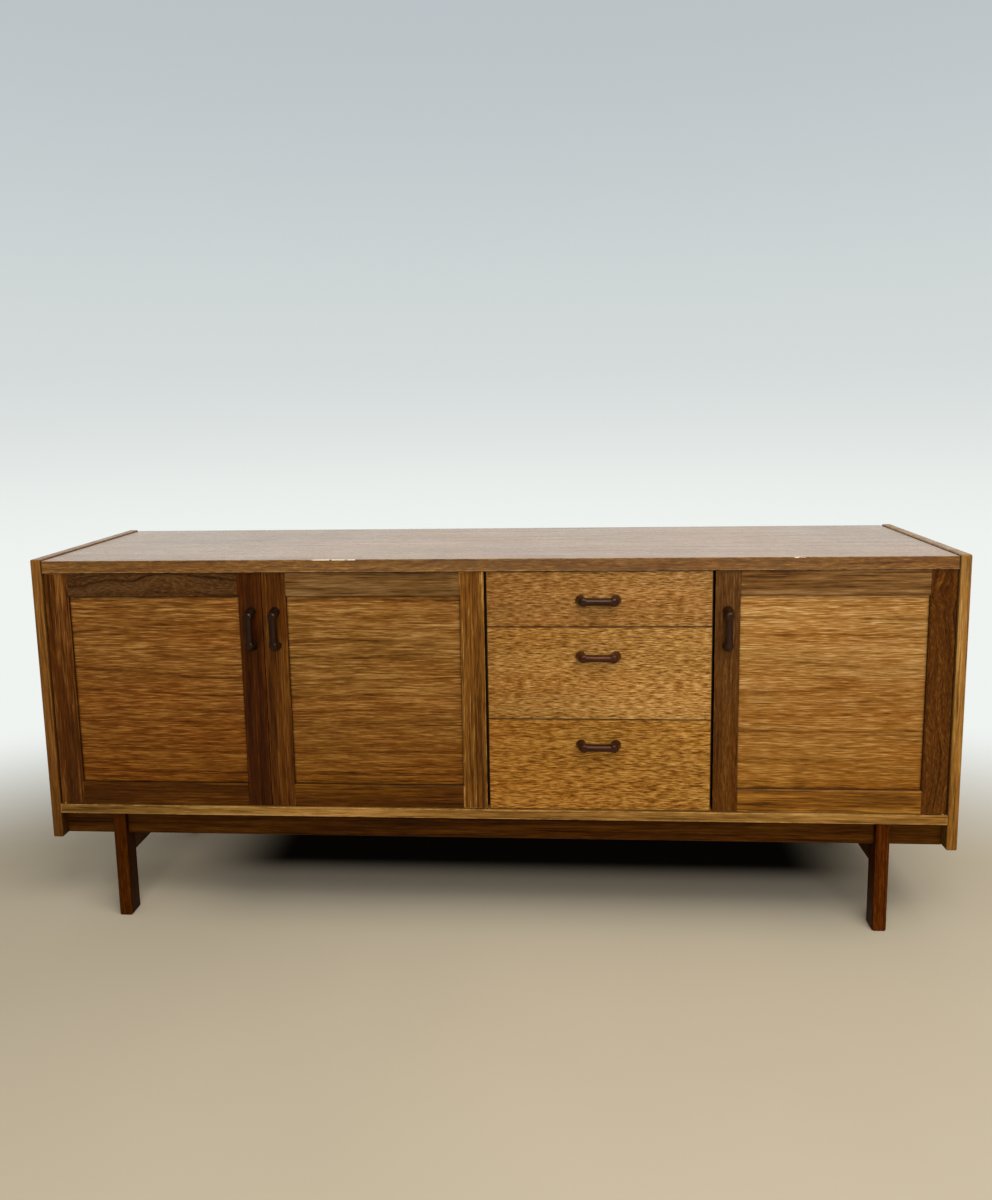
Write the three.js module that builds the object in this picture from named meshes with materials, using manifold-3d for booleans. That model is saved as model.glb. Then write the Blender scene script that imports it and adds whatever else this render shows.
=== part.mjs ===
// A long teak sideboard: a two-door cupboard on the left, three drawers in the middle
// and a one-door cupboard on the right, in a case that stands on a railed underframe.
// Millimetres, +X right, +Y to the back, +Z up. The origin is on the floor, under the
// middle of the whole piece, handles included.

import * as THREE from "three";
import { mergeVertices } from "three/addons/utils/BufferGeometryUtils.js";
import Module from "manifold-3d";

const wasm = await Module();
wasm.setup();

// ---------- driving dimensions ----------

const WIDTH = 1900;
const HEIGHT = 794;
const CASE_DEPTH = 460;
const HANDLE_PROUD = 23; // how far the handles stand in front of the case
const FIT = 0.3; // gap between two pieces that touch

// case boards
const SIDE_THICK = 22;
const TOP_THICK = 25.5;
const BOTTOM_THICK = 19.4;
const TOP_SUNK = 3; // the sides stand this much above the top
const SIDE_FOOT = 184.5; // height of the side panels' lower ends
const BOTTOM_FACE = 259.4; // height of the upper face of the bottom board
const SHADOW_GROOVE = 3; // groove between the top's ends and the sides
const PARTITION_THICK = 17;
const PARTITION_SETBACK = 27; // from the case front to the partitions' front edges
const PARTITION_CENTRES = [-1.7, 458];
const BACK_THICK = 5;
const BACK_REBATE = 8;
const BACK_REBATE_TOP = 12;
const SHELF_THICK = 18;
const SHELF_FACE = 500;
const SHELF_SETBACK = 70;
const HOUSING = 6; // depth of the grooves that carry the shelf

// underframe
const RAIL_THICK = 20;
const RAIL_SETBACK = 24;
const RAIL_FOOT = 186;
const CROSS_RAIL_FOOT = 132;
const LEG_WIDTH = 29;
const LEG_DEPTH = 43;
const LEG_SETBACK = 10; // from the case front, and from the case back
const LEG_OUTER = 820.5; // from the middle to a leg's outer face
const LEG_ROUND = 5;
const FOOT_CHAMFER = 4;

// doors and drawer fronts
const FRONT_SETBACK = 5; // from the case front to the door and drawer faces
const FRONT_THICK = 20;
const OPENING_FOOT = 261; // lower edges of doors and of the lowest drawer
const OPENING_HEAD = 763.5; // upper edges of doors and of the highest drawer
const STILE = 50;
const TOP_RAIL = 51;
const BOTTOM_RAIL = 48;
const PANEL_RECESS = 8;
const PANEL_THICK = 6;
const PANEL_GROOVE = 9; // how deep the panel grooves go into the frame
const TONGUE = 8; // how far rails and panels reach into those grooves
const FRAME_CHAMFER = 3;
const DOOR_HANDLE_HEIGHT = 646;
const DOORS = [
  { name: "left_door", left: -926.2, right: -463.7, hinge: "left", handleInset: 23 },
  { name: "middle_door", left: -462.5, right: -3.5, hinge: "right", handleInset: 26 },
  { name: "right_door", left: 459.5, right: 926.2, hinge: "right", handleInset: 25 },
];

// pivot hinges at the upper and lower ends of each hinge stile
const PIVOT_INSET = 5; // from the door's edge, and from its face, to the pivot axis
const PIVOT_PIN = 2; // radius
const PIVOT_BORE = 2.45; // radius of the hole in the stile
const PIVOT_REACH = 9; // how far the pin goes into the stile
const PIVOT_PLATE = { length: 38, depth: 9, thick: 2 };
const PIVOT_COLLAR = 3.6; // radius of the collar that carries the door
const EDGE_CHAMFER = 1.2; // taken off the hinge stile's outer front edge

// drawers
const DRAWER_LEFT = 1.5;
const DRAWER_RIGHT = 454.5;
const DRAWERS = [
  { name: "top_drawer", foot: 649.8, head: 763.5, sideHeight: 84, handleHeight: 705 },
  { name: "middle_drawer", foot: 456, head: 648.3, sideHeight: 150, handleHeight: 589 },
  { name: "bottom_drawer", foot: 261, head: 454.5, sideHeight: 150, handleHeight: 402 },
];
const DRAWER_HANDLE_X = 227;
const BOX_GAP = 1.5; // from a partition to the drawer side
const BOX_THICK = 12;
const BOX_LENGTH = 390; // behind the drawer front
const BOX_LIFT = 14; // from the front's lower edge to the sides' lower edges
const BOX_HOUSING = 7; // how far the sides are let into the front
const BACK_HOUSING = 5; // how far the back is let into the sides
const TRAY_THICK = 5;
const TRAY_LIFT = 9; // from the sides' lower edges to the drawer bottom
const TRAY_GROOVE = 5;
const BACK_DROP = 8; // the drawer back is this much lower than the sides
const RUNNER_HEIGHT = 15.2;
const RUNNER_GROOVE = 7;
const RUNNER_START = 30; // from the case front
const RUNNER_POST = 20; // the upright behind the drawers that joins the runners

// handles
const HANDLE = { length: 92, end: 10, waist: 6.6, projection: 27.7, bar: 13.5, gap: 44 };

// ---------- worked-out places ----------

const FRONT = HANDLE_PROUD - (CASE_DEPTH + HANDLE_PROUD) / 2; // front edges of the side panels
const BACK = FRONT + CASE_DEPTH;
const INNER = WIDTH / 2 - SIDE_THICK; // inner faces of the side panels
const TOP_FACE = HEIGHT - TOP_SUNK;
const TOP_UNDER = TOP_FACE - TOP_THICK;
const BOTTOM_UNDER = BOTTOM_FACE - BOTTOM_THICK;
const BACK_PANEL_FRONT = BACK - BACK_REBATE;
const FACE = FRONT + FRONT_SETBACK; // faces of doors and drawers
const DOOR_HEIGHT = OPENING_HEAD - OPENING_FOOT;
const PANEL_BACK = PANEL_RECESS + PANEL_THICK;

// ---------- materials ----------

function wood(colour, roughness) {
  return new THREE.MeshStandardMaterial({ color: colour, roughness, metalness: 0 });
}

const teakTop = wood(0xa9764f, 0.35);
const teakCase = wood(0x8a5a2c, 0.45);
const teakDoor = wood(0x6b3f20, 0.45);
const teakDrawer = wood(0xa9742f, 0.45);
const teakFrame = wood(0x4f2e16, 0.5);
const rosewood = wood(0x2a1712, 0.35);
const beech = wood(0xb99a6b, 0.6);
const plywood = wood(0x9c7747, 0.7);
const brass = new THREE.MeshStandardMaterial({ color: 0xa98a4a, roughness: 0.35, metalness: 1 });

// ---------- solids ----------

// A closed three.js geometry as a solid that can be joined and cut.
function solid(geometry) {
  const bare = geometry.index ? geometry.clone() : geometry;
  bare.deleteAttribute("normal");
  bare.deleteAttribute("uv");
  const merged = mergeVertices(bare, 1e-4);
  return new wasm.Manifold(
    new wasm.Mesh({
      numProp: 3,
      vertProperties: new Float32Array(merged.attributes.position.array),
      triVerts: new Uint32Array(merged.index.array),
    }),
  );
}

// A solid board between two corners.
function board(x0, x1, y0, y1, z0, z1) {
  const box = new THREE.BoxGeometry(x1 - x0, y1 - y0, z1 - z0);
  box.translate((x0 + x1) / 2, (y0 + y1) / 2, (z0 + z1) / 2);
  return solid(box);
}

// An upright round rod.
function rod(x, y, z0, z1, radius) {
  const cylinder = new THREE.CylinderGeometry(radius, radius, z1 - z0, 20);
  cylinder.rotateX(Math.PI / 2);
  cylinder.translate(x, y, (z0 + z1) / 2);
  return solid(cylinder);
}

function cut(body, ...tools) {
  return tools.reduce((left, tool) => left.subtract(tool), body);
}

function join(body, ...others) {
  return others.reduce((sum, other) => sum.add(other), body);
}

// A named mesh of a finished solid.
function piece(name, body, material) {
  const mesh = body.getMesh();
  const geometry = new THREE.BufferGeometry();
  geometry.setAttribute("position", new THREE.BufferAttribute(mesh.vertProperties, 3));
  geometry.setIndex(new THREE.BufferAttribute(mesh.triVerts, 1));
  geometry.computeVertexNormals();
  const made = new THREE.Mesh(geometry, material);
  made.name = name;
  return made;
}

// A rectangle with round corners, centred on the origin.
function roundedRectangle(width, depth, radius) {
  const x = width / 2;
  const y = depth / 2;
  const shape = new THREE.Shape();
  shape.moveTo(-x + radius, -y);
  shape.lineTo(x - radius, -y);
  shape.absarc(x - radius, -y + radius, radius, -Math.PI / 2, 0, false);
  shape.lineTo(x, y - radius);
  shape.absarc(x - radius, y - radius, radius, 0, Math.PI / 2, false);
  shape.lineTo(-x + radius, y);
  shape.absarc(-x + radius, y - radius, radius, Math.PI / 2, Math.PI, false);
  shape.lineTo(-x, -y + radius);
  shape.absarc(-x + radius, -y + radius, radius, Math.PI, 1.5 * Math.PI, false);
  return shape;
}

// ---------- case ----------

// The x of every door's pivot axis.
function pivotX(door) {
  return door.hinge === "left" ? door.left + PIVOT_INSET : door.right - PIVOT_INSET;
}

// Where a pivot plate lies: its long side runs from the axis towards the door's middle.
function plateSpan(door) {
  const x = pivotX(door);
  const inward = door.hinge === "left" ? 1 : -1;
  const near = x - inward * PIVOT_INSET;
  const far = near + inward * PIVOT_PLATE.length;
  return [Math.min(near, far), Math.max(near, far)];
}

const PLATE_FRONT = FACE + PIVOT_INSET - PIVOT_PLATE.depth / 2;
const PLATE_BACK = PLATE_FRONT + PIVOT_PLATE.depth;

// The recess for a pivot plate, cut from z0 to z1.
function plateRecess(door, z0, z1) {
  const [x0, x1] = plateSpan(door);
  return board(x0 - FIT, x1 + FIT, PLATE_FRONT - FIT, PLATE_BACK + FIT, z0, z1);
}

function sidePanel(side) {
  const outer = (side * WIDTH) / 2;
  const inner = side * INNER;
  const rebate = inner + side * BACK_REBATE;
  const low = Math.min;
  const high = Math.max;
  let body = board(low(outer, inner), high(outer, inner), FRONT, BACK, SIDE_FOOT, HEIGHT);
  body = cut(
    body,
    board(
      low(rebate, inner - side),
      high(rebate, inner - side),
      BACK_PANEL_FRONT,
      BACK + 1,
      BOTTOM_UNDER - FIT,
      TOP_UNDER + BACK_REBATE_TOP,
    ),
  );
  return body;
}

function shelfHousing(x0, x1) {
  return board(
    x0,
    x1,
    FRONT + SHELF_SETBACK - FIT,
    BACK_PANEL_FRONT + 1,
    SHELF_FACE - SHELF_THICK - FIT,
    SHELF_FACE + FIT,
  );
}

function topPanel() {
  const end = INNER - FIT;
  let body = board(-end, end, FRONT, BACK, TOP_UNDER, TOP_FACE);
  for (const side of [-1, 1]) {
    const groove = [side * (INNER - SHADOW_GROOVE), side * (INNER + 1)].sort((a, b) => a - b);
    body = cut(
      body,
      board(...groove, FRONT - 1, BACK + 1, TOP_FACE - SHADOW_GROOVE, TOP_FACE + 1),
      board(...groove, FRONT - 1, FRONT + SHADOW_GROOVE, TOP_UNDER - 1, TOP_FACE + 1),
    );
  }
  body = cut(
    body,
    board(-WIDTH, WIDTH, BACK_PANEL_FRONT, BACK + 1, TOP_UNDER - 1, TOP_UNDER + BACK_REBATE_TOP),
  );
  for (const door of DOORS) {
    body = cut(body, plateRecess(door, TOP_UNDER - 1, TOP_UNDER + PIVOT_PLATE.thick + FIT));
  }
  return body;
}

function bottomPanel() {
  const end = INNER - FIT;
  let body = board(-end, end, FRONT, BACK_PANEL_FRONT, BOTTOM_UNDER, BOTTOM_FACE);
  for (const door of DOORS) {
    body = cut(body, plateRecess(door, BOTTOM_FACE - PIVOT_PLATE.thick - FIT, BOTTOM_FACE + 1));
  }
  return body;
}

function partition(centre) {
  return board(
    centre - PARTITION_THICK / 2,
    centre + PARTITION_THICK / 2,
    FRONT + PARTITION_SETBACK,
    BACK_PANEL_FRONT - FIT,
    BOTTOM_FACE + FIT,
    TOP_UNDER - FIT,
  );
}

function lowerPivot(door) {
  const x = pivotX(door);
  const y = FACE + PIVOT_INSET;
  const [x0, x1] = plateSpan(door);
  return join(
    board(x0, x1, PLATE_FRONT, PLATE_BACK, BOTTOM_FACE - PIVOT_PLATE.thick, BOTTOM_FACE),
    rod(x, y, BOTTOM_FACE - 1, OPENING_FOOT - FIT, PIVOT_COLLAR),
    rod(x, y, BOTTOM_FACE - 1, OPENING_FOOT + PIVOT_REACH, PIVOT_PIN),
  );
}

function upperPivot(door) {
  const [x0, x1] = plateSpan(door);
  return join(
    board(x0, x1, PLATE_FRONT, PLATE_BACK, TOP_UNDER, TOP_UNDER + PIVOT_PLATE.thick),
    rod(pivotX(door), FACE + PIVOT_INSET, OPENING_HEAD - PIVOT_REACH, TOP_UNDER + 1, PIVOT_PIN),
  );
}

function buildCase() {
  const group = new THREE.Group();
  const [leftPartition, rightPartition] = PARTITION_CENTRES;
  const shelfLeft = -INNER - HOUSING;
  const shelfRight = leftPartition - PARTITION_THICK / 2 + HOUSING;
  group.add(
    piece("top_panel", topPanel(), teakTop),
    piece(
      "left_side_panel",
      cut(sidePanel(-1), shelfHousing(shelfLeft, -INNER + 1)),
      teakCase,
    ),
    piece("right_side_panel", sidePanel(1), teakCase),
    piece("bottom_panel", bottomPanel(), teakCase),
    piece(
      "back_panel",
      board(
        -INNER - BACK_REBATE + FIT,
        INNER + BACK_REBATE - FIT,
        BACK_PANEL_FRONT + FIT,
        BACK_PANEL_FRONT + FIT + BACK_THICK,
        BOTTOM_UNDER,
        TOP_UNDER + BACK_REBATE_TOP - FIT,
      ),
      plywood,
    ),
    piece(
      "left_partition",
      cut(partition(leftPartition), shelfHousing(shelfRight - HOUSING - 1, shelfRight)),
      teakCase,
    ),
    piece("right_partition", partition(rightPartition), teakCase),
    piece(
      "left_bay_shelf",
      board(
        shelfLeft + FIT,
        shelfRight - FIT,
        FRONT + SHELF_SETBACK,
        BACK_PANEL_FRONT - FIT,
        SHELF_FACE - SHELF_THICK,
        SHELF_FACE,
      ),
      teakCase,
    ),
  );
  for (const door of DOORS) {
    group.add(
      piece(`${door.name}_lower_pivot`, lowerPivot(door), brass),
      piece(`${door.name}_upper_pivot`, upperPivot(door), brass),
    );
  }
  return group;
}

// ---------- underframe ----------

// A leg with round corners and a chamfered foot, slotted at its head over a rail.
// It stands centred on the origin, and its slot is at slotFrom to slotTo along y.
function leg(slotFrom, slotTo) {
  const height = BOTTOM_UNDER - FIT;
  const post = new THREE.ExtrudeGeometry(roundedRectangle(LEG_WIDTH, LEG_DEPTH, LEG_ROUND), {
    depth: height,
    curveSegments: 4,
    bevelThickness: FOOT_CHAMFER,
    bevelSize: FOOT_CHAMFER * 0.75,
    bevelOffset: -FOOT_CHAMFER * 0.75,
    bevelSegments: 2,
  });
  post.translate(0, 0, FOOT_CHAMFER);
  return cut(
    solid(post),
    board(-LEG_WIDTH, LEG_WIDTH, -LEG_DEPTH, LEG_DEPTH, height, height + 2 * FOOT_CHAMFER + 1),
    board(-LEG_WIDTH, LEG_WIDTH, slotFrom - FIT, slotTo + FIT, RAIL_FOOT - FIT, height + 1),
  );
}

function buildUnderframe() {
  const group = new THREE.Group();
  const head = BOTTOM_UNDER - FIT;
  const frontRail = FRONT + RAIL_SETBACK;
  const rearRail = BACK - RAIL_SETBACK - RAIL_THICK;
  const end = INNER - FIT;
  const rails = { front_rail: frontRail, rear_rail: rearRail };
  for (const [name, y] of Object.entries(rails)) {
    group.add(piece(name, board(-end, end, y, y + RAIL_THICK, RAIL_FOOT, head), teakFrame));
  }

  const legX = LEG_OUTER - LEG_WIDTH / 2;
  const frontLeg = FRONT + LEG_SETBACK + LEG_DEPTH / 2;
  const rearLeg = BACK - LEG_SETBACK - LEG_DEPTH / 2;
  for (const [sideName, side] of [["left", -1], ["right", 1]]) {
    for (const [endName, y, rail] of [["front", frontLeg, frontRail], ["rear", rearLeg, rearRail]]) {
      const made = piece(
        `${endName}_${sideName}_leg`,
        leg(rail - y, rail + RAIL_THICK - y),
        teakFrame,
      );
      made.position.set(side * legX, y, 0);
      group.add(made);
    }
    group.add(
      piece(
        `${sideName}_cross_rail`,
        board(
          side * legX - RAIL_THICK / 2,
          side * legX + RAIL_THICK / 2,
          frontLeg + LEG_DEPTH / 2 + FIT,
          rearLeg - LEG_DEPTH / 2 - FIT,
          CROSS_RAIL_FOOT,
          head,
        ),
        teakFrame,
      ),
    );
  }
  return group;
}

// ---------- handles ----------

// A bridge handle that lies along x and stands off the face at y = 0 towards -y: a bar
// with a thin waist and round ends, carried by two round posts with a finger gap between.
function handle(name) {
  const half = HANDLE.length / 2;
  const shoulder = half - HANDLE.end;
  const round = 0.32 * HANDLE.end;
  const outline = new THREE.Shape();
  outline.moveTo(-shoulder, -HANDLE.end + round);
  outline.bezierCurveTo(
    -shoulder * 0.55,
    -HANDLE.end + round,
    -shoulder * 0.6,
    -HANDLE.waist + round,
    0,
    -HANDLE.waist + round,
  );
  outline.bezierCurveTo(
    shoulder * 0.6,
    -HANDLE.waist + round,
    shoulder * 0.55,
    -HANDLE.end + round,
    shoulder,
    -HANDLE.end + round,
  );
  outline.absarc(shoulder, 0, HANDLE.end - round, -Math.PI / 2, Math.PI / 2, false);
  outline.bezierCurveTo(
    shoulder * 0.55,
    HANDLE.end - round,
    shoulder * 0.6,
    HANDLE.waist - round,
    0,
    HANDLE.waist - round,
  );
  outline.bezierCurveTo(
    -shoulder * 0.6,
    HANDLE.waist - round,
    -shoulder * 0.55,
    HANDLE.end - round,
    -shoulder,
    HANDLE.end - round,
  );
  outline.absarc(-shoulder, 0, HANDLE.end - round, Math.PI / 2, 1.5 * Math.PI, false);

  const depth = HANDLE.projection;
  const blank = new THREE.ExtrudeGeometry(outline, {
    depth,
    curveSegments: 6,
    bevelThickness: round,
    bevelSize: round,
    bevelSegments: 3,
  });
  blank.rotateX(Math.PI / 2); // the extrusion now runs towards -y
  blank.translate(0, round - FIT, 0);

  const gapHalf = HANDLE.gap / 2;
  const gapDepth = depth - HANDLE.bar;
  const gapRound = 5;
  const gap = new THREE.Shape();
  gap.moveTo(-gapHalf, 1);
  gap.lineTo(-gapHalf, -gapDepth + gapRound);
  gap.absarc(-gapHalf + gapRound, -gapDepth + gapRound, gapRound, Math.PI, 1.5 * Math.PI, false);
  gap.lineTo(gapHalf - gapRound, -gapDepth);
  gap.absarc(gapHalf - gapRound, -gapDepth + gapRound, gapRound, -Math.PI / 2, 0, false);
  gap.lineTo(gapHalf, 1);
  const fingers = new THREE.ExtrudeGeometry(gap, {
    depth: 4 * HANDLE.end,
    curveSegments: 4,
    bevelEnabled: false,
  });
  fingers.translate(0, -FIT, -2 * HANDLE.end);

  const mountFace = board(-half - 1, half + 1, -FIT, 3 * round, -2 * HANDLE.end, 2 * HANDLE.end);
  const tip = board(
    -half - 1,
    half + 1,
    -3 * depth,
    -depth - FIT,
    -2 * HANDLE.end,
    2 * HANDLE.end,
  );
  return piece(name, cut(solid(blank), solid(fingers), mountFace, tip), rosewood);
}

// ---------- doors ----------

// The pyramid-sided tool that chamfers the frame's inner front edges with mitred corners.
function openingChamfer(width) {
  const inner = { x0: STILE, x1: width - STILE, z0: BOTTOM_RAIL, z1: DOOR_HEIGHT - TOP_RAIL };
  const ring = (grow, y) => [
    [inner.x0 - grow, y, inner.z0 - grow],
    [inner.x1 + grow, y, inner.z0 - grow],
    [inner.x1 + grow, y, inner.z1 + grow],
    [inner.x0 - grow, y, inner.z1 + grow],
  ];
  const corners = [...ring(2 * FRAME_CHAMFER, -FRAME_CHAMFER), ...ring(0, FRAME_CHAMFER)];
  const geometry = new THREE.BufferGeometry();
  geometry.setAttribute("position", new THREE.Float32BufferAttribute(corners.flat(), 3));
  const faces = [0, 1, 2, 0, 2, 3, 4, 6, 5, 4, 7, 6];
  for (let i = 0; i < 4; i++) {
    const next = (i + 1) % 4;
    faces.push(i, i + 4, next, next, i + 4, next + 4);
  }
  geometry.setIndex(faces);
  return solid(geometry);
}

// A door in its own group: x from its left edge, y back from its face, z up from its foot.
function buildDoor(door) {
  const group = new THREE.Group();
  group.position.set(door.left, FACE, OPENING_FOOT);
  const width = door.right - door.left;
  const chamfer = openingChamfer(width);
  const hingeLeft = door.hinge === "left";
  const grooveFront = PANEL_RECESS - FIT;
  const grooveBack = PANEL_BACK + FIT;

  const stileGroove = (inner, direction) => {
    const [x0, x1] = [inner + direction * PANEL_GROOVE, inner - direction].sort((a, b) => a - b);
    return board(x0, x1, grooveFront, grooveBack, -1, DOOR_HEIGHT + 1);
  };
  const leftStile = cut(
    board(0, STILE, 0, FRONT_THICK, 0, DOOR_HEIGHT),
    stileGroove(STILE, -1),
    chamfer,
  );
  const rightStile = cut(
    board(width - STILE, width, 0, FRONT_THICK, 0, DOOR_HEIGHT),
    stileGroove(width - STILE, 1),
    chamfer,
  );

  const axis = hingeLeft ? PIVOT_INSET : width - PIVOT_INSET;
  const hingeEdge = hingeLeft ? 0 : width;
  const arris = new THREE.CylinderGeometry(EDGE_CHAMFER, EDGE_CHAMFER, 2 * DOOR_HEIGHT, 4);
  arris.rotateX(Math.PI / 2);
  arris.translate(hingeEdge, 0, DOOR_HEIGHT / 2);
  const depth = PIVOT_REACH + 1;
  const hingeStile = cut(
    hingeLeft ? leftStile : rightStile,
    rod(axis, PIVOT_INSET, -1, depth, PIVOT_BORE),
    rod(axis, PIVOT_INSET, DOOR_HEIGHT - depth, DOOR_HEIGHT + 1, PIVOT_BORE),
    solid(arris),
  );

  const rail = (z0, z1, grooveFrom, grooveTo) =>
    cut(
      join(
        board(STILE + FIT, width - STILE - FIT, 0, FRONT_THICK, z0, z1),
        board(STILE - TONGUE, width - STILE + TONGUE, PANEL_RECESS, PANEL_BACK, z0, z1),
      ),
      board(-1, width + 1, grooveFront, grooveBack, grooveFrom, grooveTo),
      chamfer,
    );
  const headRail = DOOR_HEIGHT - TOP_RAIL;
  const footRail = BOTTOM_RAIL;

  group.add(
    piece(`${door.name}_hinge_stile`, hingeStile, teakDoor),
    piece(`${door.name}_lock_stile`, hingeLeft ? rightStile : leftStile, teakDoor),
    piece(
      `${door.name}_top_rail`,
      rail(headRail, DOOR_HEIGHT, headRail - 1, headRail + PANEL_GROOVE),
      teakDoor,
    ),
    piece(`${door.name}_bottom_rail`, rail(0, footRail, footRail - PANEL_GROOVE, footRail + 1), teakDoor),
    piece(
      `${door.name}_panel`,
      board(
        STILE - TONGUE,
        width - STILE + TONGUE,
        PANEL_RECESS,
        PANEL_BACK,
        footRail - TONGUE,
        headRail + TONGUE,
      ),
      teakDoor,
    ),
  );

  const grip = handle(`${door.name}_handle`);
  grip.rotation.y = Math.PI / 2;
  grip.position.set(
    hingeLeft ? width - door.handleInset : door.handleInset,
    0,
    DOOR_HANDLE_HEIGHT - OPENING_FOOT,
  );
  group.add(grip);
  return group;
}

// ---------- drawers ----------

const BAY_LEFT = PARTITION_CENTRES[0] + PARTITION_THICK / 2;
const BAY_RIGHT = PARTITION_CENTRES[1] - PARTITION_THICK / 2;

// Height of a runner's middle line above the lower edge of its drawer's front.
function runnerLine(drawer) {
  return BOX_LIFT + drawer.sideHeight / 2;
}

// A drawer in its own group: x from the front's left edge, y back from its face, z up.
function buildDrawer(drawer) {
  const group = new THREE.Group();
  group.position.set(DRAWER_LEFT, FACE, drawer.foot);
  const width = DRAWER_RIGHT - DRAWER_LEFT;
  const height = drawer.head - drawer.foot;
  const left = BAY_LEFT + BOX_GAP - DRAWER_LEFT;
  const right = BAY_RIGHT - BOX_GAP - DRAWER_LEFT;
  const foot = BOX_LIFT;
  const head = BOX_LIFT + drawer.sideHeight;
  const start = FRONT_THICK - BOX_HOUSING;
  const end = FRONT_THICK + BOX_LENGTH;
  const tray = foot + TRAY_LIFT;
  const backFront = end - 10 - BOX_THICK;
  const innerLeft = left + BOX_THICK;
  const innerRight = right - BOX_THICK;
  const trayLeft = innerLeft - TRAY_GROOVE;
  const trayRight = innerRight + TRAY_GROOVE;

  const housing = (x0, x1) =>
    board(x0 - FIT, x1 + FIT, start - FIT, FRONT_THICK + 1, foot - FIT, head + FIT);
  const trayGroove = board(
    trayLeft,
    trayRight,
    start - FIT,
    end + 1,
    tray - FIT,
    tray + TRAY_THICK + FIT,
  );
  const front = cut(
    board(0, width, 0, FRONT_THICK, 0, height),
    housing(left, innerLeft),
    housing(innerRight, right),
    trayGroove,
  );

  const line = runnerLine(drawer);
  const groove = (x0, x1) =>
    board(
      x0,
      x1,
      start - 1,
      end + 1,
      line - RUNNER_HEIGHT / 2 - 2 * FIT,
      line + RUNNER_HEIGHT / 2 + 2 * FIT,
    );
  const backHousing = board(
    innerLeft - BACK_HOUSING,
    innerRight + BACK_HOUSING,
    backFront - FIT,
    backFront + BOX_THICK + FIT,
    tray + TRAY_THICK,
    head + 1,
  );
  const leftSide = cut(
    board(left, innerLeft, start, end, foot, head),
    groove(left - 1, left + RUNNER_GROOVE - BOX_GAP),
    trayGroove,
    backHousing,
  );
  const rightSide = cut(
    board(innerRight, right, start, end, foot, head),
    groove(right - RUNNER_GROOVE + BOX_GAP, right + 1),
    trayGroove,
    backHousing,
  );

  group.add(
    piece(`${drawer.name}_front`, front, teakDrawer),
    piece(`${drawer.name}_left_side`, leftSide, beech),
    piece(`${drawer.name}_right_side`, rightSide, beech),
    piece(
      `${drawer.name}_back`,
      board(
        innerLeft - BACK_HOUSING + FIT,
        innerRight + BACK_HOUSING - FIT,
        backFront,
        backFront + BOX_THICK,
        tray + TRAY_THICK + FIT,
        head - BACK_DROP,
      ),
      beech,
    ),
    piece(
      `${drawer.name}_bottom`,
      board(trayLeft + FIT, trayRight - FIT, start, end, tray, tray + TRAY_THICK),
      plywood,
    ),
  );

  const grip = handle(`${drawer.name}_handle`);
  grip.position.set(DRAWER_HANDLE_X - DRAWER_LEFT, 0, drawer.handleHeight - drawer.foot);
  group.add(grip);
  return group;
}

// The runners of all three drawers on one partition, joined by an upright at the back.
function runnerRack(partitionFace, direction) {
  const near = partitionFace + direction * FIT;
  const far = partitionFace + direction * (RUNNER_GROOVE - 2 * FIT);
  const [x0, x1] = [near, far].sort((a, b) => a - b);
  const postBack = BACK_PANEL_FRONT - 2;
  const lines = DRAWERS.map((drawer) => drawer.foot + runnerLine(drawer));
  const arms = lines.map((z) =>
    board(x0, x1, FRONT + RUNNER_START, postBack, z - RUNNER_HEIGHT / 2, z + RUNNER_HEIGHT / 2),
  );
  const low = Math.min(...lines) - RUNNER_HEIGHT;
  const high = Math.max(...lines) + RUNNER_HEIGHT;
  return join(board(x0, x1, postBack - RUNNER_POST, postBack, low, high), ...arms);
}

// ---------- the whole sideboard ----------

const sideboard = new THREE.Group();
sideboard.add(buildCase(), buildUnderframe());
for (const door of DOORS) {
  sideboard.add(buildDoor(door));
}
for (const drawer of DRAWERS) {
  sideboard.add(buildDrawer(drawer));
}
sideboard.add(
  piece("left_runner_rack", runnerRack(BAY_LEFT, 1), beech),
  piece("right_runner_rack", runnerRack(BAY_RIGHT, -1), beech),
);

export default sideboard;
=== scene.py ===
"""The looks of a long teak sideboard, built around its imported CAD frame.

Metres throughout: +X to the right as seen from the front, +Y to the back, +Z up.
"""

import math
import random

import bmesh
import bpy
from mathutils import Matrix, Vector


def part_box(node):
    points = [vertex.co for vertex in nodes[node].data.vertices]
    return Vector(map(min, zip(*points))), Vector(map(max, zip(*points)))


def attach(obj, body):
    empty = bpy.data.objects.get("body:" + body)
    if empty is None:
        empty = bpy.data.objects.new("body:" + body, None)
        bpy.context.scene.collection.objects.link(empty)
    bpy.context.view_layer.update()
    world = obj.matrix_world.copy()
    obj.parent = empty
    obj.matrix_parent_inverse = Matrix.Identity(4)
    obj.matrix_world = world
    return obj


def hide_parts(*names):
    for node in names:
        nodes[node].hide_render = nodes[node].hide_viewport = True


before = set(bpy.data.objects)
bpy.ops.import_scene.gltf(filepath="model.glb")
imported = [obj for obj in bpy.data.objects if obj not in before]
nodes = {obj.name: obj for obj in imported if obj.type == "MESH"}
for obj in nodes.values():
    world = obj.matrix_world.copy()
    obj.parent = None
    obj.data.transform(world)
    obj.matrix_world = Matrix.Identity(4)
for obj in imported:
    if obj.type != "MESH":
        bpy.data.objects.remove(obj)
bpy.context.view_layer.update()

DOORS = ("left_door", "middle_door", "right_door")
DRAWERS = ("top_drawer", "middle_drawer", "bottom_drawer")

# ---------- node helpers ----------


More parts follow.
